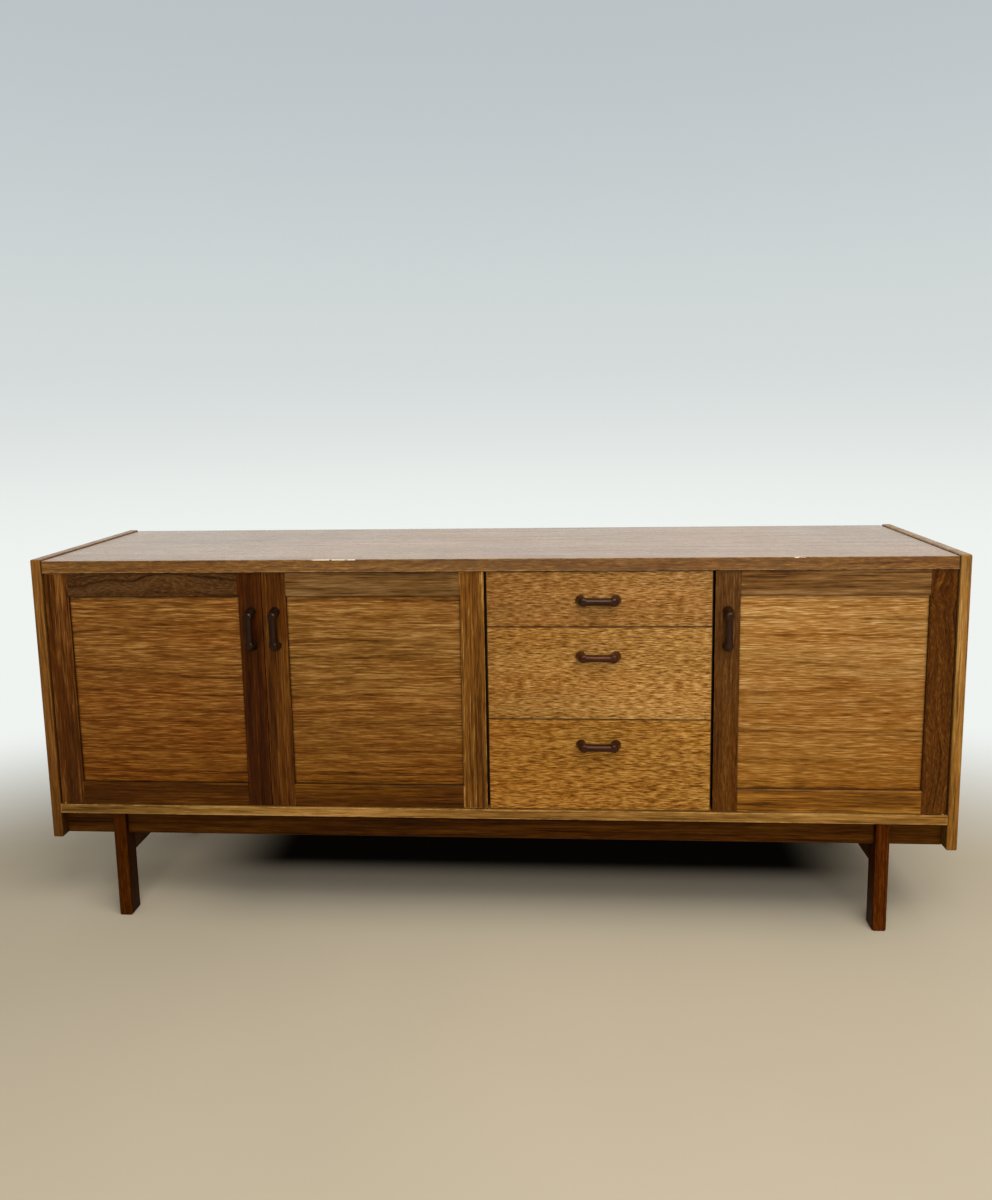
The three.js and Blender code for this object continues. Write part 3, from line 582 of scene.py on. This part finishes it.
# node: (grain and face axes, tones, seed, arris in metres, finish, figure)
BOARDS = {
    "top_panel": (ALONG_X_FLAT, tinted(TOP, 1.12, 1.15, 1.05), 11, 0.0018, POLISHED, PLAIN),
    # the left and right side panels share SIDE; the left one's darker gains and the right one's lighter
    # gains are painted light, brighter from the right
    "left_side_panel": (UP_SIDEWAYS, tinted(SIDE, 0.82, 0.84, 0.8), 12, 0.0042, SIDE_LEFT, CALM),
    "right_side_panel": (UP_SIDEWAYS, tinted(SIDE, 1.1, 1.2, 1.3), 13, 0.0042, SIDE_RIGHT, CALM),
    "bottom_panel": (ALONG_X_FLAT, tinted(EDGE, 1.1, 1.2, 1.4), 14, 0.00045, RUBBED_LIT_RIGHT, STRIPES),
    "back_panel": (ALONG_X, PLY, 15, 0.0004, ROUGH_PLY, PLAIN),
    "left_partition": (UP_SIDEWAYS, INSIDE, 16, 0.0008, FRONT_SHADE, PLAIN),
    "right_partition": (UP_SIDEWAYS, INSIDE, 17, 0.0008, FRONT_SHADE, PLAIN),
    "left_bay_shelf": (ALONG_X_FLAT, INSIDE, 18, 0.0012, {}, PLAIN),
    "front_rail": (ALONG_X, tinted(UNDER, 0.85, 0.85, 0.5), 19, 0.0015, DULL, STRIPES),
    "rear_rail": (ALONG_X, tinted(UNDER, 0.85, 0.85, 0.5), 20, 0.0015, DULL, STRIPES),
    "left_cross_rail": (BACKWARD, UNDER, 21, 0.0015, DULL, PLAIN),
    "right_cross_rail": (BACKWARD, UNDER, 22, 0.0015, DULL, PLAIN),
    "front_left_leg": (UP, tinted(LEG_BROWN, 0.85, 0.7, 0.3), 23, 0.003, LEG_LEFT, PLAIN),
    "front_right_leg": (UP, tinted(LEG_RED, 0.8, 0.66, 0.4), 24, 0.003, LEG_RIGHT, PLAIN),
    "rear_left_leg": (UP, LEG_BROWN, 25, 0.003, DULL, PLAIN),
    "rear_right_leg": (UP, LEG_BROWN, 26, 0.003, DULL, PLAIN),
    "left_runner_rack": (BACKWARD, BEECH, 27, 0.0006, MATT, PLAIN),
    "right_runner_rack": (BACKWARD, BEECH, 28, 0.0006, MATT, PLAIN),
    "left_door_hinge_stile": (UP, tinted(AMBER_FRAME, 0.64, 0.54, 0.5), 31, 0.0008, FRAME, STRIPES),
    "left_door_lock_stile": (UP, tinted(DARK_FRAME, 0.84, 0.7, 0.4), 32, 0.0008, FRAME, STRIPES),
    "left_door_top_rail": (ALONG_X, tinted(GREY_RAIL, 0.82, 0.83, 0.93), 33, 0.0008, RAIL, FIGURED),
    "left_door_bottom_rail": (ALONG_X, tinted(BROWN_FRAME, 0.72, 0.69, 0.4), 34, 0.0008, RAIL, STRIPES),
    "left_door_panel": (ALONG_X, tinted(RED_PANEL, 0.96, 0.94, 0.76), 35, 0.0003, RECESS_SHADE_LIT_TOP, VENEER_LEFT),
    "middle_door_lock_stile": (UP, BROWN_FRAME, 36, 0.0008, FRAME, STRIPES),
    "middle_door_hinge_stile": (UP, tinted(AMBER_FRAME, 1.32, 1.53, 1.8), 37, 0.0008, FRAME, STRIPES),
    "middle_door_top_rail": (ALONG_X, tinted(GOLD_RAIL, 0.74, 0.93, 1.5), 38, 0.0008, RAIL, STRIPES),
    "middle_door_bottom_rail": (ALONG_X, tinted(BROWN_FRAME, 0.87, 0.88, 0.5), 39, 0.0008, RAIL, STRIPES),
    "middle_door_panel": (ALONG_X, tinted(MID_PANEL, 0.87, 0.86, 0.79), 40, 0.0003, RECESS_SHADE_LIT_TOP, VENEER_MIDDLE),
    "right_door_lock_stile": (UP, tinted(BROWN_FRAME, 1.1, 1.25, 1.2), 41, 0.0008, TOP_SHEEN, PLAIN),
    "right_door_hinge_stile": (UP, BROWN_FRAME, 42, 0.0008, FRAME, FIGURED),
    "right_door_top_rail": (ALONG_X, tinted(GOLD_RAIL, 0.86, 1.01, 1.6), 43, 0.0008, RAIL, STRIPES),
    "right_door_bottom_rail": (ALONG_X, tinted(GOLD_RAIL, 1.0, 1.0, 0.62), 44, 0.0008, RAIL, STRIPES),
    "right_door_panel": (ALONG_X, tinted(GOLD_PANEL, 0.86, 0.87, 0.92), 45, 0.0003, RECESS_SHADE_LIT_TOP, VENEER_RIGHT),
}
DRAWER_GAINS = ((0.76, 0.8, 1.07), (0.9, 0.97, 1.19), (0.83, 0.81, 0.68))
for number, drawer in enumerate(DRAWERS):
    tones = tinted(GOLD_DRAWER, *DRAWER_GAINS[number])
    BOARDS[f"{drawer}_front"] = (ALONG_X, tones, 51 + number, 0.0008, SHADED_EDGES_LIT_RIGHT, DRAWER)
    BOARDS[f"{drawer}_left_side"] = (BACKWARD, BEECH, 54 + number, 0.0008, MATT, PLAIN)
    BOARDS[f"{drawer}_right_side"] = (BACKWARD, BEECH, 57 + number, 0.0008, MATT, PLAIN)
    BOARDS[f"{drawer}_back"] = (ALONG_X, BEECH, 60 + number, 0.0008, MATT, PLAIN)
    BOARDS[f"{drawer}_bottom"] = (ALONG_X_FLAT, PLY, 63 + number, 0.0003, MATT, PLAIN)


def dress_boards():
    for node, (grain, tones, seed, arris, finish, figure) in BOARDS.items():
        dress(node, timber(f"wood_{node}", node, grain, tones, seed, finish, figure))
        soften(node, arris)


# ---------- handles ----------

HANDLE_HALF = 0.0465  # half the length over the feet
FOOT_RADIUS = 0.0109
END_RADIUS = 0.0088
PROJECTION = 0.0276
FOOT_CENTRE = HANDLE_HALF - FOOT_RADIUS
LEAN = 0.0054  # how far a post leans in toward the middle by its front
BAR_MIDDLE = 0.0196  # how far the bar's axis stands off the face
BAR_DEPTH = 0.008
WAIST = 0.0074
# place of each handle's middle on its door or drawer face, and whether it stands upright
HANDLES = {}
for name in DOORS + DRAWERS:
    box_low, box_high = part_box(f"{name}_handle")
    centre = (box_low + box_high) / 2
    HANDLES[name] = (centre.x, box_high.y, centre.z, name in DOORS)


def ring_of(points, mesh):
    """New vertices at the points."""
    return [mesh.verts.new(point) for point in points]


def skin(mesh, rings):
    """A closed skin over rings of vertices, with both ends covered."""
    for first, second in zip(rings, rings[1:]):
        count = len(first)
        for i in range(count):
            mesh.faces.new((first[i], first[(i + 1) % count], second[(i + 1) % count], second[i]))
    mesh.faces.new(list(reversed(rings[0])))
    mesh.faces.new(rings[-1])


def add_post(mesh, side):
    """A round foot that leans in as it comes forward; u along the handle, v across, w off the face."""
    rings = []
    steps = 12
    for step in range(steps + 3):
        part = min(step / steps, 1.0)
        w = PROJECTION * 0.9 * part
        radius = FOOT_RADIUS + (END_RADIUS - FOOT_RADIUS) * part
        centre_u = FOOT_CENTRE - LEAN * part**1.5
        if step > steps:
            w = PROJECTION * (0.9 + 0.05 * (step - steps))
            radius = END_RADIUS - 0.0009 * (step - steps) ** 1.8
        turns = [2 * math.pi * k / 40 for k in range(40)]
        points = [(side * (centre_u + radius * math.cos(t)), radius * math.sin(t), w) for t in turns]
        rings.append(ring_of(points, mesh))
    skin(mesh, rings)


def add_bar(mesh):
    """The bar between the posts, waisted, with a rounded section."""
    rings = []
    count = 32
    reach = FOOT_CENTRE - LEAN
    for step in range(count + 1):
        u = reach * (2 * step / count - 1)
        flare = abs(u / reach) ** 2.6
        half = WAIST + (END_RADIUS - 0.0004 - WAIST) * flare
        points = []
        for k in range(36):
            t = 2 * math.pi * k / 36
            c, n = math.cos(t), math.sin(t)
            v = half * math.copysign(abs(c) ** 0.86, c)
            w = BAR_MIDDLE + BAR_DEPTH * math.copysign(abs(n) ** 0.86, n)
            points.append((u, v, w))
        rings.append(ring_of(points, mesh))
    skin(mesh, rings)


def handle_shape(name, middle, upright):
    """Two posts and the bar between them, melted into one shape."""
    x, y, z = middle
    mesh = bmesh.new()
    add_post(mesh, 1)
    add_post(mesh, -1)
    add_bar(mesh)
    bmesh.ops.recalc_face_normals(mesh, faces=mesh.faces)
    for vert in mesh.verts:
        u, v, w = vert.co
        vert.co = (x - v, y - w, z + u) if upright else (x + u, y - w, z + v)
    data = bpy.data.meshes.new(name)
    mesh.to_mesh(data)
    mesh.free()
    obj = bpy.data.objects.new(name, data)
    bpy.context.scene.collection.objects.link(obj)
    whole = obj.modifiers.new("whole", "REMESH")
    whole.mode = "VOXEL"
    whole.voxel_size = 0.0007
    whole.use_smooth_shade = True
    blend = obj.modifiers.new("blend", "SMOOTH")
    blend.factor = 0.5
    blend.iterations = 16
    return obj


def rosewood(name, dark, light, seed, upright):
    """Dark close-grained wood for a handle, its grain along the handle."""
    material, g, shader = new_material(name)
    place = g.node("ShaderNodeTexCoord").outputs["Object"]
    stretch = (240.0, 240.0, 26.0) if upright else (26.0, 240.0, 240.0)
    moved = g.vector("ADD", g.vector("MULTIPLY", place, stretch), (seed * 3.7, seed * 1.3, seed * 2.9))
    grain = g.noise(moved, 4.0, 0.6, 0.6)
    fine = g.noise(g.vector("MULTIPLY", moved, (3.0, 3.0, 3.0)), 2.0)
    tone = g.math("MULTIPLY", g.spread(grain, 0.3, 0.72), 0.85)
    tone = g.math("ADD", tone, g.math("MULTIPLY", fine, 0.15))
    g.feed(shader.inputs["Base Color"], g.mix(tone, rgb(*dark), rgb(*light)))
    smudge = g.noise(g.vector("MULTIPLY", place, (90.0, 90.0, 90.0)), 3.0)
    g.feed(shader.inputs["Roughness"], g.spread(smudge, 0.3, 0.7, 0.22, 0.34))
    shader.inputs["Specular IOR Level"].default_value = 0.32
    shader.inputs["Specular Tint"].default_value = rgb(1.0, 0.62, 0.42)
    bump = g.node("ShaderNodeBump")
    bump.inputs["Strength"].default_value = 0.12
    bump.inputs["Distance"].default_value = 0.0004
    g.feed(bump.inputs["Height"], grain)
    g.feed(shader.inputs["Normal"], bump.outputs["Normal"])
    return material


# Dark and light tones of each handle.
HANDLE_TONES = {
    "left_door": ((0.0045, 0.0016, 0.001), (0.013, 0.005, 0.003)),
    "middle_door": ((0.0045, 0.0016, 0.001), (0.012, 0.0045, 0.003)),
    "right_door": ((0.008, 0.003, 0.0015), (0.022, 0.008, 0.0045)),
    "top_drawer": ((0.007, 0.0026, 0.0015), (0.022, 0.008, 0.0045)),
    "middle_drawer": ((0.015, 0.003, 0.0008), (0.055, 0.014, 0.0035)),
    "bottom_drawer": ((0.009, 0.002, 0.0007), (0.032, 0.008, 0.0025)),
}


def make_handles():
    for number, (name, (x, y, z, upright)) in enumerate(HANDLES.items()):
        obj = handle_shape(f"{name}_turned_handle", (x, y, z), upright)
        dark, light = HANDLE_TONES[name]
        obj.data.materials.append(rosewood(f"rosewood_{name}", dark, light, number + 1, upright))
        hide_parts(f"{name}_handle")
        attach(obj, name)


# ---------- brass ----------


def brass():
    """Tarnished brass for the pivots and the small fittings."""
    material, g, shader = new_material("brass")
    place = g.node("ShaderNodeTexCoord").outputs["Object"]
    tarnish = g.noise(g.vector("MULTIPLY", place, (160.0, 160.0, 160.0)), 4.0, 0.6)
    dulled = g.spread(tarnish, 0.35, 0.7)
    g.feed(shader.inputs["Base Color"], g.mix(dulled, rgb(0.62, 0.46, 0.19), rgb(0.28, 0.18, 0.07)))
    g.feed(shader.inputs["Roughness"], g.spread(tarnish, 0.3, 0.7, 0.25, 0.5))
    shader.inputs["Metallic"].default_value = 1.0
    bump = g.node("ShaderNodeBump")
    bump.inputs["Strength"].default_value = 0.15
    bump.inputs["Distance"].default_value = 0.0002
    g.feed(bump.inputs["Height"], tarnish)
    g.feed(shader.inputs["Normal"], bump.outputs["Normal"])
    return material


# ---------- screws, catches and shelf pins ----------

SCREW_RADIUS = 0.0042
SCREW_SLOT = 0.0011
SHELF_PIN_RADIUS = 0.0026
SHELF_PIN_INSET = 0.05  # from the shelf's front and back edges
CATCH_SIZE = Vector((0.034, 0.02, 0.011))
CATCH_GAP = 0.006  # between a closed door and its catch
TONGUE_SIZE = Vector((0.009, 0.004, 0.0016))
TONGUE_SPREAD = 0.006
PLATE_SIZE = Vector((0.028, 0.0012, 0.011))
PLATE_DROP = 0.012  # from the door's top edge to the plate's middle
PLATE_SCREW_SPREAD = 0.0085


def add_disc(mesh, place, steps, axis="Y", turns=28):
    """A turned shape along +axis; steps are (radius, distance along the axis)."""
    rings = []
    for radius, along in steps:
        points = []
        for k in range(turns):
            t = 2 * math.pi * k / turns
            u, v = radius * math.cos(t), radius * math.sin(t)
            points.append(place + Vector((u, along, v) if axis == "Y" else (along, u, v)))
        rings.append(ring_of(points, mesh))
    skin(mesh, rings)


def add_screw(mesh, place, turn):
    """A slotted round head that stands on a face toward +Y; its slot is turned by turn."""
    add_disc(mesh, place, ((SCREW_RADIUS, 0.0), (SCREW_RADIUS, 0.0007), (SCREW_RADIUS * 0.9, 0.0011)))
    start = math.asin(SCREW_SLOT / 2 / SCREW_RADIUS)
    for half in (0, math.pi):
        rings = []
        for scale, along in ((0.94, 0.0008), (0.88, 0.0014), (0.66, 0.0019)):
            points = []
            for k in range(17):
                t = start + (math.pi - 2 * start) * k / 16
                c = SCREW_RADIUS * scale * math.cos(t)
                n = max(SCREW_RADIUS * scale * math.sin(t), SCREW_SLOT / 2)
                u = c * math.cos(turn + half) - n * math.sin(turn + half)
                v = c * math.sin(turn + half) + n * math.cos(turn + half)
                points.append(place + Vector((u, along, v)))
            rings.append(ring_of(points, mesh))
        skin(mesh, rings)


def add_block(mesh, place, size):
    """A block with rounded edges, its middle at place."""
    corners = bmesh.ops.create_cube(mesh, size=1.0)["verts"]
    for vert in corners:
        vert.co = place + Vector([c * s for c, s in zip(vert.co, size)])
    edges = {edge for vert in corners for edge in vert.link_edges}
    rounding = min(size) * 0.22
    bmesh.ops.bevel(mesh, geom=list(edges), offset=rounding, segments=2, affect="EDGES", profile=0.5)


def fitting(name, mesh, material, body):
    """Makes a brass piece of the mesh, riding on the body."""
    bmesh.ops.recalc_face_normals(mesh, faces=mesh.faces)
    data = bpy.data.meshes.new(name)
    mesh.to_mesh(data)
    mesh.free()
    obj = bpy.data.objects.new(name, data)
    bpy.context.scene.collection.objects.link(obj)
    data.materials.append(material)
    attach(obj, body)


def make_screws(material):
    """Two screws hold each handle from behind."""
    dice = random.Random(7)
    for name, (x, y, z, upright) in HANDLES.items():
        board = f"{name}_lock_stile" if upright else f"{name}_front"
        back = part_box(board)[1].y
        mesh = bmesh.new()
        for side in (-1, 1):
            u = side * FOOT_CENTRE
            place = Vector((x, back, z + u)) if upright else Vector((x + u, back, z))
            add_screw(mesh, place, dice.uniform(0, math.pi))
        fitting(f"{name}_handle_screws", mesh, material, name)


def make_catches(material):
    """A sprung catch under the top and a striking plate on each door."""
    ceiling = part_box("top_panel")[0].z
    for door in DOORS:
        low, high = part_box(f"{door}_lock_stile")
        middle = (low.x + high.x) / 2
        mesh = bmesh.new()
        plate = Vector((middle, high.y + PLATE_SIZE.y / 2, high.z - PLATE_DROP))
        add_block(mesh, plate, PLATE_SIZE)
        for side in (-1, 1):
            place = plate + Vector((side * PLATE_SCREW_SPREAD, PLATE_SIZE.y / 2, 0))
            add_screw(mesh, place, 0.6 * side)
        fitting(f"{door}_strike_plate", mesh, material, door)
        mesh = bmesh.new()
        shell = Vector((middle, high.y + CATCH_GAP + CATCH_SIZE.y / 2, ceiling - CATCH_SIZE.z / 2))
        add_block(mesh, shell, CATCH_SIZE)
        for side in (-1, 1):
            tongue = shell + Vector((side * TONGUE_SPREAD, -CATCH_SIZE.y / 2 - 0.0015, -0.002))
            add_block(mesh, tongue, TONGUE_SIZE)
        fitting(f"{door}_catch", mesh, material, "case")


def make_shelf_pins(material):
    """Four pins with rounded ends under the shelf, out of the uprights on either side of it."""
    low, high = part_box("left_bay_shelf")
    mesh = bmesh.new()
    round_end = (SHELF_PIN_RADIUS * 0.7, 0.0095)
    steps = [(SHELF_PIN_RADIUS, along) for along in (0.0, 0.0008, 0.0012, 0.0015, 0.0085)] + [round_end]
    for wall, inward in ((low.x, 1), (high.x, -1)):
        for y in (low.y + SHELF_PIN_INSET, high.y - SHELF_PIN_INSET):
            place = Vector((wall, y, low.z - SHELF_PIN_RADIUS - 0.0002))
            add_disc(mesh, place, [(radius, inward * along) for radius, along in steps], axis="X")
    fitting("shelf_pins", mesh, material, "case")


# ---------- the whole scene ----------

make_camera()
make_world()
make_stage()
dress_boards()
make_handles()
metal = brass()
for door in DOORS:
    for end in ("lower", "upper"):
        dress(f"{door}_{end}_pivot", metal)
make_screws(metal)
make_catches(metal)
make_shelf_pins(metal)
